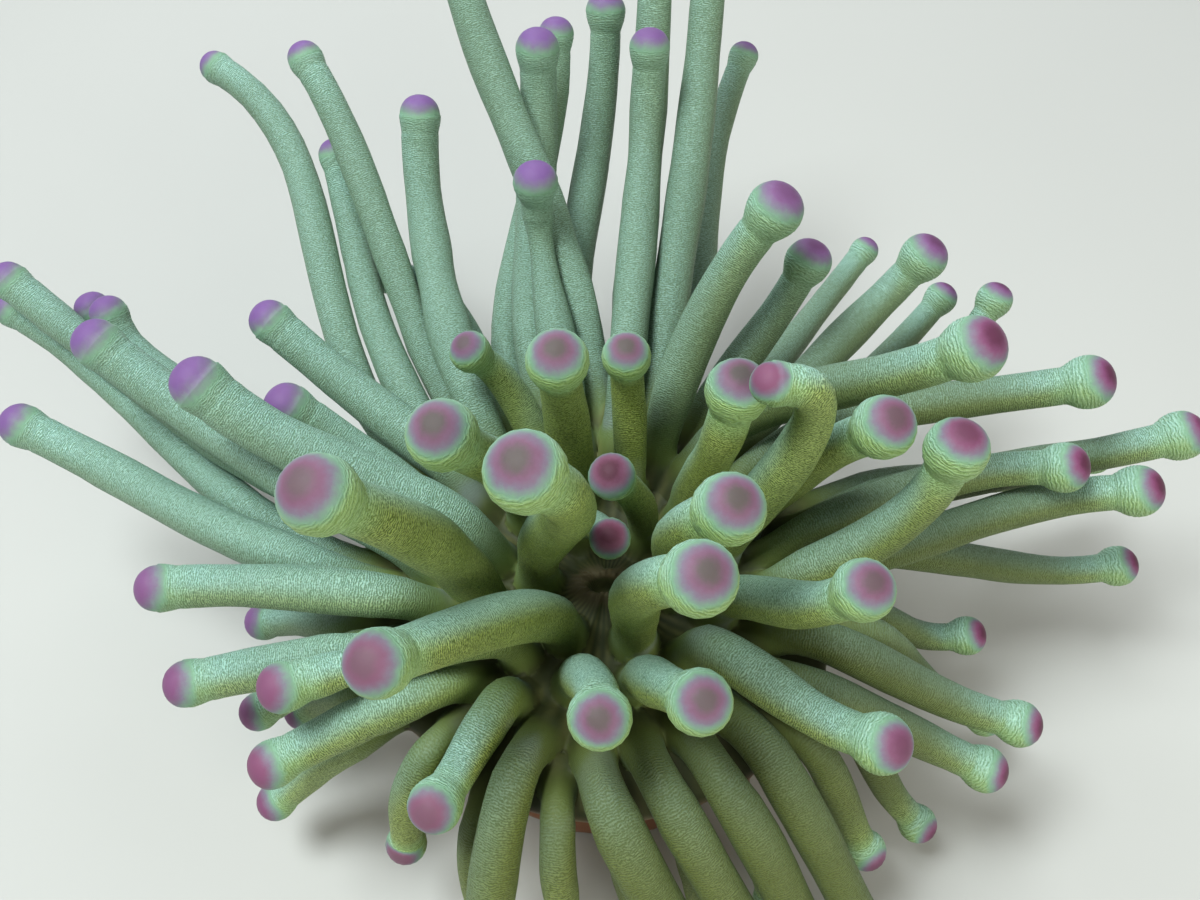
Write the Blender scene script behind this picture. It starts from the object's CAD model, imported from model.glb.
import math

import bmesh
import bpy
import numpy as np
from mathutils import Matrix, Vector, kdtree


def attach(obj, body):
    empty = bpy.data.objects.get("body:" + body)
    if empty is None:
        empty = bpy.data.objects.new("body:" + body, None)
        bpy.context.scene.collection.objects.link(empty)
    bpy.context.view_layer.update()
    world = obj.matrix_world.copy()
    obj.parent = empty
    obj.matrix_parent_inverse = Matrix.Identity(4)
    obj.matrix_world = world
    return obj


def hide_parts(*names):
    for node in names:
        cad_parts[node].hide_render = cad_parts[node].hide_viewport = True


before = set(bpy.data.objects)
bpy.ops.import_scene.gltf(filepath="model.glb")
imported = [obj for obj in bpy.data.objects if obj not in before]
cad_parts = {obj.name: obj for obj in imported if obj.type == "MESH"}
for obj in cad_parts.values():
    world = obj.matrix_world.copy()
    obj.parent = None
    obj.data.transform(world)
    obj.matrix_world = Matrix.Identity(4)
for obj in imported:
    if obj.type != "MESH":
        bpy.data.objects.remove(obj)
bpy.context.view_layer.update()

mm = 0.001
fullTurn = 2 * math.pi
scene = bpy.context.scene


# ---- tentacle paths, followed from the tips of the CAD nodes down to the disc

crown = {
    "cycleRadius": [17.0, 28.5, 39.0, 48.6, 55.8],  # of the roots, mm
    "cycleStart": [-65.0, -105.0, -5.0, 2.5, -5.0],  # bearing of each cycle's first root
    "cycleStep": [60.0, 30.0, 15.0, 15.0, 15.0],
    "cycleLean": [8.0, 16.0, 42.0, 62.0, 74.0],  # of the roots, away from upright
    "slots": [6, 12, 24, 24, 15],  # tentacles in each cycle
    "corners": 6,  # of each CAD ring
    "mostRings": 12,
    "rootDepth": 5.0,  # mm of each root inside the disc, before the two are joined
}
cornerSwell = math.sqrt(fullTurn / (crown["corners"] * math.sin(fullTurn / crown["corners"])))


def weldedCopy(node):
    bm = bmesh.new()
    bm.from_mesh(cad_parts[node].data)
    bmesh.ops.remove_doubles(bm, verts=bm.verts, dist=1e-6)
    return bm


def neighboursOf(vert):
    return [edge.other_vert(vert) for edge in vert.link_edges]


def centreOf(ring):
    return sum((corner.co for corner in ring), Vector()) / len(ring)


def isPole(vert):
    # the middle of a cap: all its spokes and all its ring's radii are alike
    if len(vert.link_edges) != crown["corners"]:
        return False
    ring = neighboursOf(vert)
    centre = centreOf(ring)
    spokes = [edge.calc_length() for edge in vert.link_edges]
    radii = [(corner.co - centre).length for corner in ring]
    return max(spokes) < 1.02 * min(spokes) and max(radii) < 1.02 * min(radii)


def walkFrom(pole):
    # ring after ring, as (centre, radius), until the root's cut, which has more corners
    rings = [(pole.co.copy(), 0.0)]
    seen = {pole}
    ring = neighboursOf(pole)
    while len(ring) >= crown["corners"] and len(rings) < crown["mostRings"]:
        centre = centreOf(ring)
        rings.append((centre, sum((corner.co - centre).length for corner in ring) / len(ring)))
        seen |= set(ring)
        if len(ring) > crown["corners"]:
            break
        ring = list({other for corner in ring for other in neighboursOf(corner)} - seen)
    return rings


def walksOf(node):
    bm = weldedCopy(node)
    walks = [walkFrom(vert) for vert in bm.verts if isPole(vert)]
    bm.free()
    return walks


def joinedWalk(tipNode, shaftNode):
    shaft = walksOf(shaftNode)[0]
    tip = max(walksOf(tipNode), key=lambda walk: (walk[0][0] - shaft[0][0]).length)
    return tip[:-1] + shaft[2:]


def seatOf(cycle, slot):
    bearing = math.radians(crown["cycleStart"][cycle - 1] + slot * crown["cycleStep"][cycle - 1])
    radius = crown["cycleRadius"][cycle - 1] * mm
    return Vector((radius * math.cos(bearing), radius * math.sin(bearing), 0))


def nameBySeat(walks):
    # the outer tentacles share nodes, so each takes the name of the seat that it stands nearest
    seats = [(cycle, slot) for cycle in (4, 5) for slot in range(crown["slots"][cycle - 1])]
    pairs = []
    for number, walk in enumerate(walks):
        foot = walk[-1][0].copy()
        foot.z = 0
        pairs += [((foot - seatOf(*seat)).length, number, seat) for seat in seats]
    named = {}
    taken = set()
    for distance, number, seat in sorted(pairs):
        if number not in taken and seat not in named:
            named[seat] = walks[number]
            taken.add(number)
    return named


def followTentacles():
    # every walk by its (cycle, slot), both counted as in the node names
    walks = {}
    margin = []
    for node in sorted(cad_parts):
        if node.startswith("crown_sextant"):
            margin += walksOf(node)
        elif node.startswith("tentacle") and not node.endswith("_tip"):
            cycle, slot = node.split("_")[1:3]
            place = (int(cycle), int(slot) - 1)
            if node.endswith("_shaft"):
                walks[place] = joinedWalk(node.replace("_shaft", "_tip"), node)
            else:
                walks[place] = walksOf(node)[0]
    walks.update(nameBySeat(margin))
    return dict(sorted(walks.items()))


def cubicThrough(points):
    # a natural cubic spline through points, returned as closely spaced samples of it
    points = np.array(points)
    knots = np.concatenate([[0.0], np.cumsum(np.linalg.norm(np.diff(points, axis=0), axis=1))])
    gaps = np.diff(knots)
    count = len(knots)
    system = np.eye(count)
    wanted = np.zeros((count, 3))
    for i in range(1, count - 1):
        system[i, i - 1 : i + 2] = gaps[i - 1], 2 * (gaps[i - 1] + gaps[i]), gaps[i]
        slopes = (points[i + 1] - points[i]) / gaps[i] - (points[i] - points[i - 1]) / gaps[i - 1]
        wanted[i] = 6 * slopes
    bend = np.linalg.solve(system, wanted)
    samples = np.linspace(0, knots[-1], 400)
    piece = np.clip(np.searchsorted(knots, samples) - 1, 0, count - 2)
    gap = gaps[piece][:, None]
    before = (samples - knots[piece])[:, None]
    after = gap - before
    return (
        (bend[piece] * after**3 + bend[piece + 1] * before**3) / (6 * gap)
        + (points[piece] / gap - bend[piece] * gap / 6) * after
        + (points[piece + 1] / gap - bend[piece + 1] * gap / 6) * before
    )


# ---- the shape of one tentacle along its path

tentacle = {
    "sides": 18,
    "capRings": 9,
    "capDepth": 0.94,  # of the dome, in knob radii
    "ballDepth": 1.15,  # of the knob's lower half, in knob radii
    "pinch": (1.12, 0.92),  # the neck's girth behind a slight knob and behind a full one
    "neckReach": 2.4,  # in knob radii
    "neckFillet": 0.2,
    "stoutness": (0.08, 0.14),  # extra girth of all, and of the stout ones
    "leastShaft": 0.7,  # girth, as a share of the knob's
    "light": (-0.04, -0.24, 0.97),
    "capTurn": (0.66, 0.45),  # towards the light, in the middle of the crown and at its edge
    "collarEnd": 2.9,  # where the folds end, in knob radii
    "collarSpacing": 0.43,  # mm between rings in the folded stretch
    "shaftRings": 21,
    "flare": 0.15,  # extra girth at the root
    "flareReach": 4.5,  # mm
    "wander": 0.03,  # uneven girth, as a share
    "foldSpacing": 0.95,  # mm between the folds round the collar
    "foldDepth": 0.1,  # mm
    "foldWaver": 2.2,  # mm
    "lumpDepth": 0.35,  # mm
    "lumpSize": 9.0,  # mm
}


def smoothStep(value, low, high):
    share = np.clip((value - low) / (high - low), 0, 1)
    return share * share * (3 - 2 * share)


def facing(place, bearing):
    # 1 where a place lies at that bearing from the middle, 0 from a right angle to it onwards
    angle = math.atan2(place.y, place.x) - math.radians(bearing)
    return max(0.0, math.cos(angle)) ** 1.5


def capWayOf(along, tip, outer):
    # a cap is turned from the line of its tentacle towards the light
    back = facing(tip, 95)
    share = tentacle["capTurn"][0] + (tentacle["capTurn"][1] - tentacle["capTurn"][0]) * outer
    share = share * (1 - 0.5 * outer * back)
    way = along / np.linalg.norm(along) * (1 - share) + np.array(tentacle["light"]) * share
    return way / np.linalg.norm(way)


def softMax(first, second, width):
    share = np.clip(0.5 + 0.5 * (first - second) / width, 0, 1)
    return second + (first - second) * share + width * share * (1 - share) / 2


def layOut(walk, cycle, index):
    rings = list(reversed(walk))
    seat = rings[0][0]
    bearing = math.atan2(seat.y, seat.x)
    lean = math.radians(crown["cycleLean"][cycle - 1])
    rootWay = Vector((math.sin(lean) * math.cos(bearing), math.sin(lean) * math.sin(bearing), math.cos(lean)))
    deep = seat - rootWay * crown["rootDepth"] * mm
    centres = [deep] + [centre for centre, radius in rings]
    line = cubicThrough([tuple(centre) for centre in centres])
    steps = np.concatenate([[0.0], np.cumsum(np.linalg.norm(np.diff(line, axis=0), axis=1))])
    length = steps[-1]
    seatAt = crown["rootDepth"] * mm
    knobRing = max(range(len(rings) - 3, len(rings)), key=lambda n: rings[n][1])
    knob = rings[knobRing][1] / cornerSwell
    # distance along the path of every ring, for its girth
    ringAt = [steps[np.argmin(np.linalg.norm(line - np.array(centre), axis=1))] for centre, radius in rings]
    shaftAt = ringAt[1:knobRing]
    shaftGirth = [radius / cornerSwell for centre, radius in rings[1:knobRing]]
    # stations, as distances from the tip
    dome = tentacle["capDepth"] * knob
    angles = np.linspace(0, math.pi / 2, tentacle["capRings"] + 1)
    cap = dome * (1 - np.cos(angles))
    collarEnd = tentacle["collarEnd"] * knob
    collar = np.arange(dome, collarEnd, tentacle["collarSpacing"] * mm)[1:]
    shaft = np.linspace(collar[-1], length, tentacle["shaftRings"] + 1)[1:]
    fromTip = np.concatenate([cap, collar, shaft])
    fromRoot = length - fromTip
    # a ball at the end, and a neck that is pinched behind it
    below = np.maximum(fromTip - dome, 0)
    ball = knob * np.sqrt(np.clip(1 - (below / (tentacle["ballDepth"] * knob)) ** 2, 0, 1))
    # outer ones at the left and the back are stout, with a slight knob
    tip = rings[-1][0]
    outer = smoothStep(math.hypot(tip.x, tip.y), 50 * mm, 105 * mm)
    stout = outer * max(facing(tip, 165), 0.6 * facing(tip, 215), 0.5 * facing(tip, 95))
    fullness = float(np.clip((knob / max(shaftGirth) - 0.95) / 0.35, 0, 1) * (1 - 0.85 * stout))
    pinch = np.interp(fullness, (0, 1), tentacle["pinch"])
    grown = smoothStep(fromRoot, 10 * mm, 40 * mm)
    thicken = 1 + (tentacle["stoutness"][0] + tentacle["stoutness"][1] * stout) * grown
    narrow = 1 - (1 - pinch) * np.exp(-((below / (tentacle["neckReach"] * knob)) ** 2))
    neck = np.interp(fromRoot, shaftAt, shaftGirth) * narrow * thicken
    neck = np.minimum(neck, knob * (1 + 0.1 * below / knob))
    # no shaft is much slimmer than its knob
    least = tentacle["leastShaft"] * knob * (1 - 0.3 * smoothStep(fromTip, 20 * mm, 80 * mm)) * grown
    neck = softMax(neck, least, 0.1 * knob)
    girth = softMax(ball, neck, (tentacle["neckFillet"] + 0.4 * (1 - fullness)) * knob)
    girth[: len(cap)] = knob * np.sin(angles) ** 0.94
    girth[0] = knob * 0.02
    phase = index * 2.4
    uneven = np.sin(fromRoot / (11 * mm) + phase) + 0.6 * np.sin(fromRoot / (5.3 * mm) + 2 * phase)
    away = np.clip((fromTip - collarEnd) / (8 * mm), 0, 1)
    girth *= 1 + tentacle["wander"] * uneven * away
    girth *= 1 + tentacle["flare"] * np.exp(-np.maximum(fromRoot - seatAt, 0) / (tentacle["flareReach"] * mm))
    centres = np.stack([np.interp(fromRoot, steps, line[:, axis]) for axis in range(3)], axis=1)
    surface = np.hypot(np.diff(fromTip), np.diff(girth))
    tipArc = np.concatenate([[0.0], np.cumsum(surface)]) / knob
    return {
        "centres": centres[::-1],
        "girth": girth[::-1],
        "tipWalk": fromTip[::-1],
        "rootWalk": (fromRoot - seatAt)[::-1],
        "tipArc": tipArc[::-1],
        "fullness": np.full(len(fromTip), fullness),
        "knob": knob,
        "knobCentre": centres[len(cap) - 1],
        "capWay": capWayOf(centres[0] - centres[len(cap) - 1], tip, outer),
    }


clearing = {
    "gap": 0.6,  # mm left between neighbouring tentacles
    "fromRoot": 14.0,  # mm along each tentacle, below which it keeps its girth
    "besideRoot": 7.0,  # mm along its neighbour, below which they may grow together
    "belowKnob": (1.2, 3.2),  # in knob radii, where it begins; the knob itself keeps its size
    "rounds": 6,
}


def overlapWith(own, other):
    # how far each station of one tentacle reaches into another, measured to the other's segments
    starts = other["centres"][:-1]
    ways = np.diff(other["centres"], axis=0)
    offsets = own["centres"][:, None] - starts[None]
    share = (offsets * ways).sum(axis=2) / ((ways**2).sum(axis=1) + 1e-12)
    share = np.clip(share, 0, 1)
    distance = np.linalg.norm(offsets - ways * share[:, :, None], axis=2)
    girth = other["girth"][:-1] + share * np.diff(other["girth"])
    grown = other["rootWalk"][:-1] > clearing["besideRoot"] * mm
    reach = own["girth"][:, None] + girth + clearing["gap"] * mm - distance
    return np.where(grown, reach, 0).max(axis=1)


def mayTouch(own, other):
    spread = (own["knob"] + other["knob"]) * 1.2
    low = np.maximum(own["centres"].min(axis=0), other["centres"].min(axis=0))
    high = np.minimum(own["centres"].max(axis=0), other["centres"].max(axis=0))
    return bool((low < high + spread).all())


def clearShafts(layouts):
    # where two shafts would touch, each gives way by half in every round
    pairs = [(a, b) for a in layouts for b in layouts if a is not b and mayTouch(a, b)]
    for turn in range(clearing["rounds"]):
        given = [np.zeros(len(layout["girth"])) for layout in layouts]
        number = {id(layout): n for n, layout in enumerate(layouts)}
        for own, other in pairs:
            grown = own["rootWalk"] > clearing["fromRoot"] * mm
            low, high = (share * own["knob"] for share in clearing["belowKnob"])
            reach = np.where(grown, overlapWith(own, other), 0) / 2
            reach = reach * smoothStep(own["tipWalk"], low, high)
            mine = number[id(own)]
            given[mine] = np.maximum(given[mine], reach)
        for layout, amount in zip(layouts, given):
            layout["girth"] = layout["girth"] - np.maximum(amount, 0)
        print("shafts cleared by", round(max(amount.max() for amount in given) / mm, 2), "mm")


def guideMesh(layouts):
    # one chain of edges for each tentacle, with what the sweep and the skin need to know
    centres = np.concatenate([layout["centres"] for layout in layouts])
    edges = []
    start = 0
    for layout in layouts:
        count = len(layout["centres"])
        edges += [(start + i, start + i + 1) for i in range(count - 1)]
        start += count
    mesh = bpy.data.meshes.new("tentacleGuides")
    mesh.from_pydata([tuple(centre) for centre in centres], edges, [])
    for name in ("girth", "tipWalk", "rootWalk", "tipArc", "fullness"):
        values = np.concatenate([layout[name] for layout in layouts])
        mesh.attributes.new(name, "FLOAT", "POINT").data.foreach_set("value", values)
    number = np.concatenate([np.full(len(layout["centres"]), n) for n, layout in enumerate(layouts)])
    mesh.attributes.new("tentacle", "FLOAT", "POINT").data.foreach_set("value", number.astype(float))
    return mesh


# ---- the sweep, in geometry nodes

class TreeMaker:
    # short-hand for a geometry node tree with named inputs
    def __init__(self, name, inputs):
        self.tree = bpy.data.node_groups.new(name, "GeometryNodeTree")
        face = self.tree.interface
        face.new_socket("Geometry", in_out="INPUT", socket_type="NodeSocketGeometry")
        self.sockets = {}
        for label, kind in inputs:
            self.sockets[label] = face.new_socket(label, in_out="INPUT", socket_type=kind)
        face.new_socket("Geometry", in_out="OUTPUT", socket_type="NodeSocketGeometry")
        self.start = self.tree.nodes.new("NodeGroupInput")
        self.end = self.tree.nodes.new("NodeGroupOutput")

    def add(self, kind, links=None, **settings):
        node = self.tree.nodes.new(kind)
        for name, value in settings.items():
            setattr(node, name, value)
        for socket, source in (links or {}).items():
            self.feed(node.inputs[socket], source)
        return node

    def feed(self, socket, source):
        if isinstance(source, bpy.types.NodeSocket):
            self.tree.links.new(source, socket)
        elif isinstance(source, bpy.types.Node):
            self.tree.links.new(source.outputs[0], socket)
        else:
            socket.default_value = source

    def given(self, label):
        return self.start.outputs[label]

    def attribute(self, name, kind="FLOAT"):
        node = self.add("GeometryNodeInputNamedAttribute", {"Name": name}, data_type=kind)
        return node.outputs["Attribute"]

    def math(self, operation, *values):
        links = dict(enumerate(values))
        return self.add("ShaderNodeMath", links, operation=operation).outputs[0]

    def ramp(self, value, low, high):
        node = self.add("ShaderNodeMapRange", {0: value, 1: low, 2: high}, interpolation_type="SMOOTHSTEP")
        return node.outputs[0]

    def store(self, geometry, name, value, kind="FLOAT"):
        links = {"Geometry": geometry, "Name": name, "Value": value}
        node = self.add("GeometryNodeStoreNamedAttribute", links, data_type=kind, domain="POINT")
        return node.outputs[0]

    def finish(self, geometry, material):
        finished = self.add("GeometryNodeSetMaterial", {"Geometry": geometry, "Material": material})
        whole = self.add("GeometryNodeRealizeInstances", {"Geometry": finished})
        self.tree.links.new(whole.outputs[0], self.end.inputs[0])
        return self.tree


def sweepTree(material):
    inputs = [
        ("Sides", "NodeSocketInt"),
        ("Fold Spacing", "NodeSocketFloat"),
        ("Fold Depth", "NodeSocketFloat"),
        ("Fold Waver", "NodeSocketFloat"),
        ("Lump Size", "NodeSocketFloat"),
        ("Lump Depth", "NodeSocketFloat"),
    ]
    make = TreeMaker("tentacleSweep", inputs)
    curves = make.add("GeometryNodeMeshToCurve", {"Mesh": make.given("Geometry")})
    ring = make.add("GeometryNodeCurvePrimitiveCircle", {"Resolution": make.given("Sides"), "Radius": 1.0})
    along = make.add("GeometryNodeSplineParameter")
    profile = make.store(ring.outputs[0], "turn", along.outputs["Factor"])
    links = {"Curve": curves, "Profile Curve": profile, "Scale": make.attribute("girth"), "Fill Caps": True}
    tubes = make.add("GeometryNodeCurveToMesh", links)
    # straight: where a point would lie if its tentacle stood straight
    angle = make.math("MULTIPLY", make.attribute("turn"), fullTurn)
    girth = make.attribute("girth")
    parts = {
        "X": make.math("MULTIPLY", make.math("COSINE", angle), girth),
        "Y": make.math("MULTIPLY", make.math("SINE", angle), girth),
        "Z": make.attribute("tipWalk"),
    }
    straight = make.add("ShaderNodeCombineXYZ", parts)
    shape = make.store(tubes.outputs[0], "straight", straight, "FLOAT_VECTOR")
    # folds round the collar, waved by noise
    place = make.attribute("straight", "FLOAT_VECTOR")
    offset = make.add("ShaderNodeCombineXYZ", {"Z": make.attribute("tentacle")})
    apart = make.add("ShaderNodeVectorMath", {0: place, 1: offset}, operation="ADD")
    waver = make.add("ShaderNodeTexNoise", {"Vector": apart, "Scale": 260.0, "Detail": 1.0})
    drift = make.math("MULTIPLY", make.math("SUBTRACT", waver.outputs[0], 0.5), make.given("Fold Waver"))
    shape = make.store(shape, "foldWalk", make.math("ADD", make.attribute("tipWalk"), drift))
    phase = make.math("DIVIDE", make.attribute("foldWalk"), make.given("Fold Spacing"))
    wave = make.math("SINE", make.math("MULTIPLY", phase, fullTurn))
    arc = make.attribute("tipArc")
    folded = make.math("MULTIPLY", make.ramp(arc, 1.3, 1.7), make.math("SUBTRACT", 1.0, make.ramp(arc, 2.2, 3.0)))
    folded = make.math("MULTIPLY", folded, make.math("MULTIPLY_ADD", make.attribute("fullness"), 0.7, 0.3))
    folds = make.math("MULTIPLY", make.math("MULTIPLY", wave, folded), make.given("Fold Depth"))
    lumpScale = make.math("DIVIDE", 1.0, make.given("Lump Size"))
    lump = make.add("ShaderNodeTexNoise", {"Vector": apart, "Scale": lumpScale, "Detail": 1.0})
    swelling = make.math("MULTIPLY", make.math("SUBTRACT", lump.outputs[0], 0.5), make.given("Lump Depth"))
    swelling = make.math("MULTIPLY", swelling, make.ramp(arc, 0.8, 2.0))
    normal = make.add("GeometryNodeInputNormal")
    rise = make.math("ADD", folds, swelling)
    push = make.add("ShaderNodeVectorMath", {0: normal, "Scale": rise}, operation="SCALE")
    shape = make.add("GeometryNodeSetPosition", {"Geometry": shape, "Offset": push})
    return make.finish(shape.outputs[0], material), make.sockets


def sweepTentacles(guides, material):
    tree, sockets = sweepTree(material)
    holder = bpy.data.objects.new("tentacleGuides", guides)
    scene.collection.objects.link(holder)
    modifier = holder.modifiers.new("sweep", "NODES")
    modifier.node_group = tree
    modifier[sockets["Sides"].identifier] = tentacle["sides"]
    modifier[sockets["Fold Spacing"].identifier] = tentacle["foldSpacing"] * mm
    modifier[sockets["Fold Depth"].identifier] = tentacle["foldDepth"] * mm
    modifier[sockets["Fold Waver"].identifier] = tentacle["foldWaver"] * mm
    modifier[sockets["Lump Size"].identifier] = tentacle["lumpSize"] * mm
    modifier[sockets["Lump Depth"].identifier] = tentacle["lumpDepth"] * mm
    graph = bpy.context.evaluated_depsgraph_get()
    swept = bpy.data.meshes.new_from_object(holder.evaluated_get(graph))
    bpy.data.objects.remove(holder)
    bm = bmesh.new()
    bm.from_mesh(swept)
    bmesh.ops.remove_doubles(bm, verts=bm.verts, dist=1e-6)
    bmesh.ops.recalc_face_normals(bm, faces=bm.faces)
    open_ = sum(1 for edge in bm.edges if len(edge.link_faces) != 2)
    print("tubes", len(bm.verts), "verts", len(bm.faces), "faces, open edges", open_)
    bm.to_mesh(swept)
    bm.free()
    return swept


# ---- the body: foot, column, margin, oral disc and mouth, turned about the z axis

body = {
    "around": 160,
    "spacing": 2.0,  # mm between rows
    "outline": [  # radius and height, mm, from the foot's edge up and over to the throat
        (41.0, 0.0), (43.4, 0.9), (44.0, 3.0), (41.0, 9.0), (37.6, 16.0), (37.0, 22.0), (38.5, 34.0),
        (44.0, 46.0), (53.5, 55.0), (59.0, 57.7), (60.5, 60.5), (58.5, 64.0), (53.5, 66.0), (45.5, 66.8),
        (34.4, 66.6), (20.0, 65.8), (11.5, 65.6), (9.2, 66.9), (7.4, 68.9), (5.6, 69.2), (4.4, 67.4),
        (3.2, 64.0), (1.6, 62.0),
    ],
    "slitFlatness": 0.56,
    "slitReach": (9.0, 17.0),  # mm, where the slit's flatness starts to fade, and where it has gone
    "furrows": 48,
    "furrowDepth": 0.3,  # mm
    "creaseDepth": 0.35,  # mm, across the column
    "ridgeDepth": 0.25,  # mm, of the rays on the disc
    "lipFolds": 22,
    "lipFoldDepth": 0.35,  # mm
    "footLobes": 0.9,  # mm
}


def bodyMesh():
    line = cubicThrough([(radius * mm, height * mm, 0) for radius, height in body["outline"]])
    steps = np.concatenate([[0.0], np.cumsum(np.linalg.norm(np.diff(line, axis=0), axis=1))])
    rows = np.linspace(0, steps[-1], round(steps[-1] / (body["spacing"] * mm)))
    radius = np.interp(rows, steps, line[:, 0])[:, None]
    height = np.interp(rows, steps, line[:, 1])[:, None]
    height[0] = 0
    height = np.maximum(height, 0)
    angle = np.linspace(0, fullTurn, body["around"], endpoint=False)[None, :]
    rise = height / mm
    reach = radius / mm
    # the foot's edge is lobed, the column creased and furrowed, the disc rayed, the lips folded
    column = smoothStep(rise, 6, 16) * (1 - smoothStep(rise, 46, 56))
    furrows = np.cos(angle * body["furrows"] + 0.8 * np.sin(3 * angle)) * body["furrowDepth"]
    creases = np.sin(rise * 1.35 + 1.5 * np.sin(2 * angle) + np.sin(5 * angle + 1)) * body["creaseDepth"]
    lobes = np.sin(5 * angle + 0.6) + 0.6 * np.sin(11 * angle + 2) + 0.4 * np.sin(23 * angle)
    foot = (1 - smoothStep(rise, 5, 12)) * (smoothStep(rise, 0.2, 2))
    reach = reach + column * (furrows + creases * smoothStep(rise, 8, 20)) + foot * lobes * body["footLobes"] * 0.5
    disc = (rise > 60) * smoothStep(reach, 11, 16) * (1 - smoothStep(reach, 40, 50))
    rays = np.cos(angle * body["furrows"]) * body["ridgeDepth"]
    lip = (rise > 63) * smoothStep(reach, 3.5, 6) * (1 - smoothStep(reach, 8, 11))
    rise = rise + disc * rays + lip * np.cos(angle * body["lipFolds"]) * body["lipFoldDepth"]
    # towards the mouth the rows flatten into a slit
    flat = body["slitFlatness"] + (1 - body["slitFlatness"]) * smoothStep(reach, *body["slitReach"])
    flat = np.where(rise > 60, flat, 1.0)
    x = reach * np.cos(angle)
    y = reach * np.sin(angle) * flat
    z = rise + 0 * angle
    verts = np.stack([x, y, z], axis=2).reshape(-1, 3) * mm
    around = body["around"]
    faces = []
    for row in range(len(rows) - 1):
        for i in range(around):
            nextI = (i + 1) % around
            faces.append((row * around + i, row * around + nextI, (row + 1) * around + nextI, (row + 1) * around + i))
    bottom = len(verts)
    verts = np.vstack([verts, [[0, 0, 0], [0, 0, verts[-1][2]]]])
    last = (len(rows) - 1) * around
    for i in range(around):
        nextI = (i + 1) % around
        faces.append((bottom, nextI, i))
        faces.append((bottom + 1, last + i, last + nextI))
    mesh = bpy.data.meshes.new("body")
    mesh.from_pydata([tuple(vert) for vert in verts], [], faces)
    everywhere = {"tentacle": -1.0, "tipArc": 40.0, "rootWalk": -5 * mm, "tipWalk": 0.2, "foldWalk": 0.2, "girth": 0.0}
    everywhere["fullness"] = 0.0
    for name, value in everywhere.items():
        mesh.attributes.new(name, "FLOAT", "POINT").data.foreach_set("value", np.full(len(verts), value))
    mesh.attributes.new("straight", "FLOAT_VECTOR", "POINT").data.foreach_set("vector", verts.ravel())
    return mesh


# ---- one skin of flesh: the body and every tentacle joined, with soft fillets at the roots

def objectOf(name, mesh):
    made = bpy.data.objects.new(name, mesh)
    scene.collection.objects.link(made)
    return made


def unionTree(bodyObject, material):
    make = TreeMaker("fleshUnion", [])
    number = make.add("FunctionNodeFloatToInt", {0: make.attribute("tentacle")}, rounding_mode="ROUND")
    links = {"Geometry": make.given("Geometry"), "Group ID": number}
    tubes = make.add("GeometryNodeSplitToInstances", links, domain="FACE")
    trunk = make.add("GeometryNodeObjectInfo", {"Object": bodyObject})
    whole = make.add("GeometryNodeMeshBoolean", operation="UNION", solver="MANIFOLD")
    make.tree.links.new(tubes.outputs["Instances"], whole.inputs["Mesh 2"])
    make.tree.links.new(trunk.outputs["Geometry"], whole.inputs["Mesh 2"])
    return make.finish(whole.outputs["Mesh"], material)


def joinFlesh(bodyShape, tubes, material):
    trunk = objectOf("body", bodyShape)
    holder = objectOf("tubes", tubes)
    holder.modifiers.new("union", "NODES").node_group = unionTree(trunk, material)
    graph = bpy.context.evaluated_depsgraph_get()
    joined = bpy.data.meshes.new_from_object(holder.evaluated_get(graph))
    bpy.data.objects.remove(holder)
    bpy.data.objects.remove(trunk)
    bm = bmesh.new()
    bm.from_mesh(joined)
    bmesh.ops.triangulate(bm, faces=[face for face in bm.faces if len(face.verts) > 4])
    open_ = sum(1 for edge in bm.edges if len(edge.link_faces) != 2)
    print("skin joined", sum(len(face.verts) - 2 for face in bm.faces), "triangles, open edges", open_)
    bm.to_mesh(joined)
    bm.free()
    return joined


def valuesOf(mesh, name):
    values = np.empty(len(mesh.vertices))
    mesh.attributes[name].data.foreach_get("value", values)
    return values


def edgesOf(mesh):
    ends = np.empty(len(mesh.edges) * 2, dtype=int)
    mesh.edges.foreach_get("vertices", ends)
    return ends.reshape(-1, 2)


def mendSeams(mesh):
    # a vertex made where two surfaces cross has no values of its own, and takes a neighbour's
    own = np.arange(len(mesh.vertices))
    source = own.copy()
    lost = (valuesOf(mesh, "rootWalk") == 0) & (valuesOf(mesh, "tipArc") == 0)
    for turn in range(fillet["rounds"]):
        for takers, givers in (edgesOf(mesh).T, edgesOf(mesh).T[::-1]):
            fit = lost[takers] & ~lost[givers]
            source[takers[fit]] = source[givers[fit]]
        lost &= source == own
    for name in ("tentacle", "rootWalk", "tipWalk", "tipArc", "foldWalk", "fullness"):
        mesh.attributes[name].data.foreach_set("value", valuesOf(mesh, name)[source])
    straight = np.empty(len(own) * 3)
    mesh.attributes["straight"].data.foreach_get("vector", straight)
    mesh.attributes["straight"].data.foreach_set("vector", straight.reshape(-1, 3)[source].ravel())
    print("seam vertices mended", int((source != own).sum()), "left", int(lost.sum()))


fillet = {
    "reach": 4,  # rings of vertices on either side of a join
    "rounds": 14,
    "pull": 0.5,
}


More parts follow.
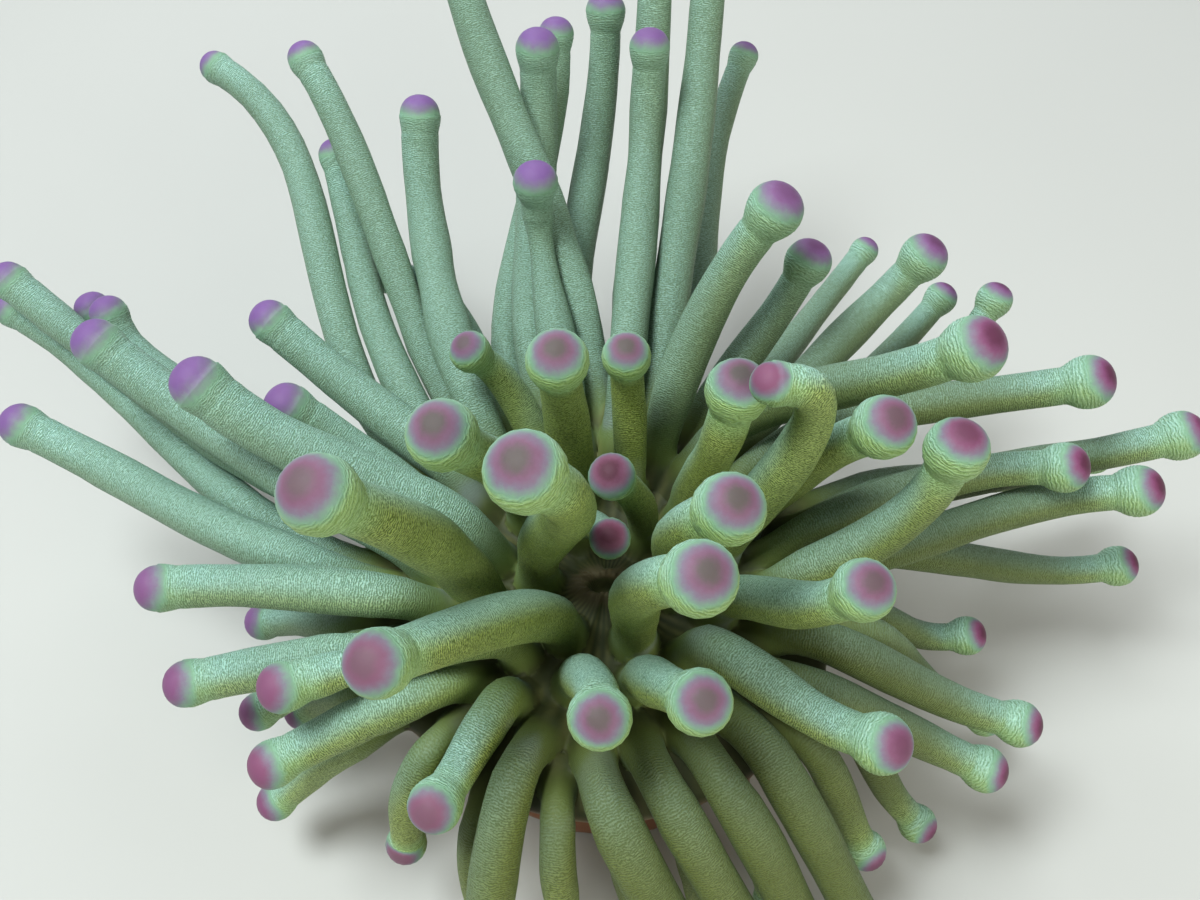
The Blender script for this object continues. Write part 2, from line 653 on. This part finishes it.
def softenRoots(mesh):
    # vertices near a join are drawn to the middle of their neighbours
    count = len(mesh.vertices)
    edges = edgesOf(mesh)
    owner = np.round(valuesOf(mesh, "tentacle"))
    crossing = owner[edges[:, 0]] != owner[edges[:, 1]]
    near = np.zeros(count)
    near[edges[crossing].ravel()] = 1
    for ring in range(fillet["reach"]):
        grown = near.copy()
        np.maximum.at(grown, edges[:, 0], near[edges[:, 1]] * 0.75)
        np.maximum.at(grown, edges[:, 1], near[edges[:, 0]] * 0.75)
        near = grown
    degree = np.zeros(count)
    np.add.at(degree, edges.ravel(), 1)
    places = np.empty(count * 3)
    mesh.vertices.foreach_get("co", places)
    places = places.reshape(-1, 3)
    for turn in range(fillet["rounds"]):
        total = np.zeros((count, 3))
        np.add.at(total, edges[:, 0], places[edges[:, 1]])
        np.add.at(total, edges[:, 1], places[edges[:, 0]])
        middle = total / degree[:, None]
        places += (middle - places) * near[:, None] * fillet["pull"]
    mesh.vertices.foreach_set("co", places.ravel())
    mesh.update()


# ---- what tells one tentacle from another

looks = {
    # crimson in the cap, grey in its middle, depth of its middle; paleness of the shaft, size of the
    # cap, coolness of the shaft, shade
    (1, 2): (0.35, 0.0, 0.8, 0.2, 1.2, 0.0, 0.3),
    (1, 3): (0.45, 0.0, 0.7, 0.3, 1.2, 0.0, 0.3),
    (2, 4): (0.45, 0.0, 0.0, 0.6, 1.1, 0.1, 0.0),
}


def lookOf(place, tip):
    outer = smoothStep(math.hypot(tip.x, tip.y), 50 * mm, 105 * mm)
    low = 1 - smoothStep(tip.z, 40 * mm, 90 * mm)

    right = facing(tip, 5)
    left = facing(tip, 155) ** 1.8
    lowerLeft = facing(tip, 215)
    back = facing(tip, 95)
    front = facing(tip, 275)
    crimson = 0.1 + outer * (0.7 * right + 0.45 * lowerLeft - 0.1 * back)
    grey = max(0.0, 1 - 1.5 * outer)
    deep = 0.05 + 0.7 * outer * right
    pale = 0.25 + outer * (0.3 * left + 0.45 * lowerLeft - 0.1 * back)
    capSize = 0.9 + outer * (0.3 * left + 0.35 * lowerLeft + 0.3 * back + 0.04 * right)
    cool = outer * min(1.0, 0.85 * back + 0.75 * left + 0.25 * right)
    shade = 0.12 + outer * (0.45 * right + 0.2 * back) + 0.6 * low * front
    return looks.get(place, (crimson, grey, deep, pale, capSize, cool, shade))


def storeCaps(mesh, layouts):
    # the angle from the middle of the cap, in radians, which becomes distance along the skin below it
    places = np.empty(len(mesh.vertices) * 3)
    mesh.vertices.foreach_get("co", places)
    owner = np.round(valuesOf(mesh, "tentacle")).astype(int)
    inside = owner >= 0
    centres = np.array([layout["knobCentre"] for layout in layouts])[owner]
    ways = np.array([layout["capWay"] for layout in layouts])[owner]
    outwards = places.reshape(-1, 3) - centres
    outwards /= np.linalg.norm(outwards, axis=1)[:, None] + 1e-9
    angle = np.arccos(np.clip((outwards * ways).sum(axis=1), -1, 1))
    arc = valuesOf(mesh, "tipArc")
    share = smoothStep(arc, 1.9, 2.8)
    angle = np.where(inside, angle + (arc - angle) * share, arc)
    mesh.attributes.new("capAngle", "FLOAT", "POINT").data.foreach_set("value", angle)


def storeLooks(mesh, walks):
    table = [lookOf(place, walk[0][0]) for place, walk in walks.items()] + [(0, 0, 0, 0, 1, 0, 0)]
    owner = np.round(valuesOf(mesh, "tentacle")).astype(int)
    values = np.array(table)[np.where(owner < 0, len(table) - 1, owner)]
    for name, columns in (("capLook", [0, 1, 2]), ("shaftLook", [3, 4, 5])):
        attribute = mesh.attributes.new(name, "FLOAT_VECTOR", "POINT")
        attribute.data.foreach_set("vector", values[:, columns].ravel())
    mesh.attributes.new("shade", "FLOAT", "POINT").data.foreach_set("value", values[:, 6])


# ---- materials

class ShadeMaker:
    # short-hand for a material's nodes
    def __init__(self, name):
        self.material = bpy.data.materials.new(name)
        self.material.use_nodes = True
        self.tree = self.material.node_tree
        self.shader = self.tree.nodes["Principled BSDF"]

    def add(self, kind, links=None, **settings):
        node = self.tree.nodes.new(kind)
        for name, value in settings.items():
            setattr(node, name, value)
        for socket, source in (links or {}).items():
            self.feed(node.inputs[socket], source)
        return node

    def feed(self, socket, source):
        if isinstance(source, bpy.types.NodeSocket):
            self.tree.links.new(source, socket)
        else:
            socket.default_value = source

    def attribute(self, name, output="Fac"):
        node = self.add("ShaderNodeAttribute", attribute_name=name)
        return node.outputs[output]

    def math(self, operation, *values):
        return self.add("ShaderNodeMath", dict(enumerate(values)), operation=operation).outputs[0]

    def ramp(self, value, low, high, start=0.0, end=1.0):
        links = {0: value, 1: low, 2: high, 3: start, 4: end}
        return self.add("ShaderNodeMapRange", links, interpolation_type="SMOOTHSTEP").outputs[0]

    def mix(self, share, first, second):
        node = self.add("ShaderNodeMix", data_type="RGBA")
        self.feed(node.inputs[0], share)
        self.feed(node.inputs[6], first if isinstance(first, bpy.types.NodeSocket) else (*first, 1))
        self.feed(node.inputs[7], second if isinstance(second, bpy.types.NodeSocket) else (*second, 1))
        return node.outputs[2]

    def noise(self, vector, scale, detail=2.0, roughness=0.5):
        links = {"Vector": vector, "Scale": scale, "Detail": detail, "Roughness": roughness}
        return self.add("ShaderNodeTexNoise", links).outputs[0]


skinLook = {
    "capGrey": (0.108, 0.088, 0.085),
    "capHalo": (0.20, 0.10, 0.17),
    "capCrimson": (0.235, 0.035, 0.075),
    "capDeep": (0.06, 0.008, 0.02),
    "capEdge": (0.20, 0.19, 0.25),
    "rim": (0.20, 0.37, 0.24),
    "capViolet": (0.19, 0.095, 0.29),
    "collarCrest": (0.40, 0.59, 0.25),
    "collarValley": (0.18, 0.29, 0.065),
    "shaftCrest": (0.45, 0.56, 0.15),
    "shaftOlive": (0.26, 0.34, 0.045),
    "shaftValley": (0.085, 0.125, 0.010),
    "coolCrest": (0.34, 0.54, 0.41),
    "coolValley": (0.145, 0.25, 0.16),
    "upperCrest": (0.44, 0.72, 0.66),
    "upperValley": (0.16, 0.31, 0.22),
    "shaded": (0.085, 0.10, 0.020),
    "base": (0.16, 0.23, 0.055),
    "baseLavender": (0.25, 0.31, 0.29),
    "disc": (0.040, 0.048, 0.014),
    "discRay": (0.11, 0.115, 0.04),
    "lips": (0.12, 0.10, 0.05),
    "column": (0.34, 0.15, 0.07),
    "columnPale": (0.48, 0.28, 0.16),
    "foot": (0.25, 0.11, 0.06),
    "upperSide": (-0.22, 0.40, 0.89),
    "fineSpacing": 0.36,  # mm, along the tentacle, of the grains
    "fineWidth": 0.5,  # mm, round the tentacle
    "lineSpacing": 0.56,  # mm between the wrinkles
    "bend": 3.6,  # of the wrinkles, in turns
    "waver": 1.1,  # of the folds, in turns
}


def fleshMaterial():
    make = ShadeMaker("moistFlesh")
    number = make.attribute("tentacle")
    rootWalk = make.attribute("rootWalk")
    capLook = make.add("ShaderNodeSeparateXYZ", {0: make.attribute("capLook", "Vector")})
    crimson, grey, deep = capLook.outputs
    shaftLook = make.add("ShaderNodeSeparateXYZ", {0: make.attribute("shaftLook", "Vector")})
    pale, capSize, cool = shaftLook.outputs
    shift = make.add("ShaderNodeCombineXYZ", {2: number})
    straight = make.attribute("straight", "Vector")
    place = make.add("ShaderNodeVectorMath", {0: straight, 1: shift.outputs[0]}, operation="ADD").outputs[0]
    arc = make.attribute("tipArc")
    uneven = make.math("MULTIPLY_ADD", make.noise(place, 300.0, 4.0, 0.7), 0.4, -0.2)
    capArc = make.math("ADD", make.math("DIVIDE", make.attribute("capAngle"), capSize), uneven)

    # folds of the collar, and the fine wrinkles everywhere below it
    zigzag = make.math("MULTIPLY", make.noise(place, 430.0, 1.5), skinLook["waver"] * 2)
    turns = make.math("DIVIDE", make.attribute("foldWalk"), tentacle["foldSpacing"] * mm)
    phase = make.math("MULTIPLY", make.math("ADD", turns, zigzag), fullTurn)
    fold = make.math("MULTIPLY_ADD", make.math("SINE", phase), 0.5, 0.5)
    fineScale = (1 / skinLook["fineWidth"], 1 / skinLook["fineWidth"], 1 / skinLook["fineSpacing"])
    stretched = make.add("ShaderNodeVectorMath", {0: place, 1: fineScale}, operation="MULTIPLY").outputs[0]
    grains = make.noise(stretched, 1000.0, 2.0, 0.6)
    bend = make.math("MULTIPLY", make.noise(place, 330.0, 2.0, 0.6), skinLook["bend"])
    lines = make.math("ADD", make.math("DIVIDE", make.attribute("tipWalk"), skinLook["lineSpacing"] * mm), bend)
    wave = make.math("MULTIPLY_ADD", make.math("SINE", make.math("MULTIPLY", lines, fullTurn)), 0.22, 0.5)
    mixed = make.math("ADD", make.math("MULTIPLY", wave, 0.36), make.math("MULTIPLY", grains, 0.64))
    wrinkle = make.ramp(mixed, 0.38, 0.62)
    inCollar = make.math("SUBTRACT", 1.0, make.ramp(arc, 2.0, 2.8))
    fullness = make.math("MULTIPLY_ADD", make.attribute("fullness"), 0.35, 0.25)
    crest = make.add("ShaderNodeMix", {0: make.math("MULTIPLY", inCollar, fullness), 2: wrinkle, 3: fold}).outputs[0]

    # colour of the cap
    halo = make.mix(crimson, skinLook["capHalo"], skinLook["capCrimson"])
    halo = make.mix(cool, halo, skinLook["capViolet"])
    middle = make.mix(grey, halo, skinLook["capGrey"])
    middle = make.mix(deep, middle, skinLook["capDeep"])
    colour = make.mix(make.ramp(capArc, 0.22, 0.66), middle, halo)
    colour = make.mix(make.ramp(capArc, 0.50, 1.0), colour, skinLook["capEdge"])
    colour = make.mix(make.ramp(capArc, 0.78, 1.18), colour, skinLook["rim"])

    # the upper side is paler and cooler than the underside
    normal = make.add("ShaderNodeNewGeometry").outputs["Normal"]
    upward = make.add("ShaderNodeVectorMath", {0: normal, 1: skinLook["upperSide"]}, operation="DOT_PRODUCT").outputs[1]
    upper = make.ramp(upward, 0.0, 0.85)

    # collar and shaft
    collarCrest = make.mix(cool, skinLook["collarCrest"], skinLook["coolCrest"])
    collarValley = make.mix(cool, skinLook["collarValley"], skinLook["coolValley"])
    collarCrest = make.mix(make.math("MULTIPLY", upper, 0.75), collarCrest, skinLook["upperCrest"])
    collarValley = make.mix(make.math("MULTIPLY", upper, 0.75), collarValley, skinLook["upperValley"])
    colour = make.mix(make.ramp(capArc, 1.05, 1.4), colour, make.mix(crest, collarValley, collarCrest))
    patches = make.ramp(make.noise(place, 95.0, 2.0), 0.35, 0.68)
    nearTip = make.math("SUBTRACT", 1.0, make.ramp(make.attribute("tipWalk"), 8 * mm, 55 * mm))
    warmth = make.math("MULTIPLY_ADD", nearTip, 0.6, make.math("MULTIPLY", patches, 0.45))
    warmth = make.math("ADD", warmth, make.math("SUBTRACT", pale, 0.25))
    crestColour = make.mix(warmth, skinLook["shaftOlive"], skinLook["shaftCrest"])
    crestColour = make.mix(cool, crestColour, skinLook["coolCrest"])
    valleyColour = make.mix(cool, skinLook["shaftValley"], skinLook["coolValley"])
    lit = make.math("MULTIPLY", upper, make.math("MULTIPLY_ADD", nearTip, 0.2, 0.75))
    crestColour = make.mix(lit, crestColour, skinLook["upperCrest"])
    valleyColour = make.mix(lit, valleyColour, skinLook["upperValley"])
    shaftColour = make.mix(crest, valleyColour, crestColour)
    colour = make.mix(make.ramp(arc, 2.4, 3.4), colour, shaftColour)
    blotch = make.ramp(make.noise(place, 70.0, 1.0), 0.56, 0.76)
    baseColour = make.mix(blotch, skinLook["base"], skinLook["baseLavender"])
    grown = make.ramp(rootWalk, 2 * mm, 24 * mm)
    colour = make.mix(grown, baseColour, colour)
    shade = make.math("MULTIPLY", make.attribute("shade"), make.ramp(arc, 1.5, 6.0))
    colour = make.mix(shade, colour, skinLook["shaded"])

    # the body below
    ownPlace = make.add("ShaderNodeTexCoord").outputs["Object"]
    spot = make.add("ShaderNodeSeparateXYZ", {0: ownPlace})
    height = spot.outputs[2]
    flat = make.add("ShaderNodeVectorMath", {0: ownPlace, 1: (1, 1, 0)}, operation="MULTIPLY").outputs[0]
    reach = make.add("ShaderNodeVectorMath", {0: flat}, operation="LENGTH").outputs[1]
    mottle = make.ramp(make.noise(ownPlace, 90.0, 4.0), 0.35, 0.68)
    columnColour = make.mix(mottle, skinLook["column"], skinLook["columnPale"])
    bodyColour = make.mix(make.ramp(height, 5 * mm, 15 * mm), skinLook["foot"], columnColour)
    bearing = make.math("ARCTAN2", spot.outputs[1], spot.outputs[0])
    ray = make.math("SINE", make.math("MULTIPLY", bearing, body["furrows"]))
    ray = make.math("MULTIPLY", make.math("MULTIPLY_ADD", ray, 0.5, 0.5), mottle)
    discColour = make.mix(ray, skinLook["disc"], skinLook["discRay"])
    bodyColour = make.mix(make.ramp(height, 56 * mm, 63 * mm), bodyColour, discColour)
    lipHeight = make.ramp(height, 66.2 * mm, 68 * mm)
    lipShare = make.math("MULTIPLY", lipHeight, make.ramp(reach, 11 * mm, 9 * mm))
    bodyColour = make.mix(lipShare, bodyColour, skinLook["lips"])
    colour = make.mix(make.ramp(rootWalk, -2 * mm, 8 * mm), bodyColour, colour)

    # relief
    below = make.math("MULTIPLY", make.ramp(capArc, 1.0, 1.35), make.ramp(rootWalk, 2 * mm, 18 * mm))
    grain = make.noise(ownPlace, 2400.0, 2.0)
    relief = make.math("MULTIPLY_ADD", grain, 0.1, make.math("MULTIPLY", crest, below))
    bump = make.add("ShaderNodeBump", {"Strength": 0.9, "Distance": 0.26 * mm, "Height": relief})
    shader = make.shader
    make.feed(shader.inputs["Base Color"], colour)
    make.feed(shader.inputs["Normal"], bump.outputs[0])
    make.feed(shader.inputs["Roughness"], make.ramp(relief, 0.0, 1.1, 0.62, 0.48))
    shader.inputs["Subsurface Weight"].default_value = 0.22
    shader.inputs["Subsurface Radius"].default_value = (1.0, 0.75, 0.5)
    shader.inputs["Subsurface Scale"].default_value = 0.0014
    shader.inputs["IOR"].default_value = 1.38
    shader.inputs["Sheen Weight"].default_value = 0.08
    shader.inputs["Sheen Roughness"].default_value = 0.35
    shader.inputs["Sheen Tint"].default_value = (0.6, 1.0, 0.85, 1)
    return make.material


# ---- the making

print("following the tentacles")
walks = followTentacles()
layouts = [layOut(walk, place[0], number) for number, (place, walk) in enumerate(walks.items())]
clearShafts(layouts)
flesh = fleshMaterial()
print("sweeping", len(layouts), "tentacles")
tubes = sweepTentacles(guideMesh(layouts), flesh)
print("joining them with the body")
skinMesh = joinFlesh(bodyMesh(), tubes, flesh)
mendSeams(skinMesh)
softenRoots(skinMesh)
storeCaps(skinMesh, layouts)
storeLooks(skinMesh, walks)
skinMesh.materials.clear()
skinMesh.materials.append(flesh)
skinMesh.shade_smooth()
skin = objectOf("skin", skinMesh)
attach(skin, "root")
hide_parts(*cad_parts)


# ---- floor, light and camera

studio = {
    "floorSize": 30.0,
    "floorColour": (0.49, 0.49, 0.475),
    "floorPale": (0.52, 0.52, 0.505),
    "floorMottle": 6.0,
    "sunStrength": 1.9,
    "sunAngle": 25.0,  # degrees across, for soft shadows
    "sunFrom": (-0.35, 0.05, 0.95),
    "keyPower": 5.0,
    "fillPower": 5.5,
    "rimPower": 3.0,
    "world": 0.24,
    "cameraPlace": (-1.3, -146.9, 329.2),  # mm
    "cameraPitch": 36.0,  # degrees up from straight down
    "lens": 34.5,
}


def floorMaterial():
    make = ShadeMaker("paleFloor")
    place = make.add("ShaderNodeTexCoord").outputs["Object"]
    cloud = make.noise(place, studio["floorMottle"])
    make.feed(make.shader.inputs["Base Color"], make.mix(cloud, studio["floorColour"], studio["floorPale"]))
    make.feed(make.shader.inputs["Roughness"], 0.8)
    return make.material


def makeFloor():
    size = studio["floorSize"] / 2
    mesh = bpy.data.meshes.new("floor")
    corners = [(-size, -size, 0), (size, -size, 0), (size, size, 0), (-size, size, 0)]
    mesh.from_pydata(corners, [], [(0, 1, 2, 3)])
    mesh.materials.append(floorMaterial())
    objectOf("floor", mesh)


def areaLight(name, place, target, size, power, tint):
    data = bpy.data.lights.new(name, "AREA")
    data.size = size
    data.energy = power
    data.color = tint
    lamp = objectOf(name, data)
    lamp.location = place
    lamp.rotation_euler = (Vector(target) - Vector(place)).to_track_quat("-Z", "Y").to_euler()


def makeStudio():
    makeFloor()
    middle = (0, 0, 0.08)
    sun = bpy.data.lights.new("skyLight", "SUN")
    sun.energy = studio["sunStrength"]
    sun.angle = math.radians(studio["sunAngle"])
    sun.color = (0.93, 1.0, 1.0)
    sky = objectOf("skyLight", sun)
    sky.rotation_euler = Vector(studio["sunFrom"]).to_track_quat("Z", "Y").to_euler()
    areaLight("keyLight", (-0.35, -0.05, 0.95), middle, 0.3, studio["keyPower"], (0.92, 1.0, 1.0))
    areaLight("fillLight", (0.5, -0.8, 0.6), middle, 0.6, studio["fillPower"], (1.0, 0.98, 0.88))
    areaLight("rimLight", (-0.2, 0.9, 0.7), middle, 0.5, studio["rimPower"], (0.92, 0.98, 1.0))
    world = bpy.data.worlds.new("studio")
    world.use_nodes = True
    world.node_tree.nodes["Background"].inputs["Color"].default_value = (1.0, 1.0, 0.95, 1)
    world.node_tree.nodes["Background"].inputs["Strength"].default_value = studio["world"]
    scene.world = world
    scene.view_settings.view_transform = "Standard"
    data = bpy.data.cameras.new("camera")
    data.lens = studio["lens"]
    data.sensor_width = 36
    data.clip_start = 0.01
    camera = objectOf("camera", data)
    camera.location = Vector(studio["cameraPlace"]) * mm
    camera.rotation_euler = (math.radians(studio["cameraPitch"]), 0, 0)
    scene.camera = camera


makeStudio()
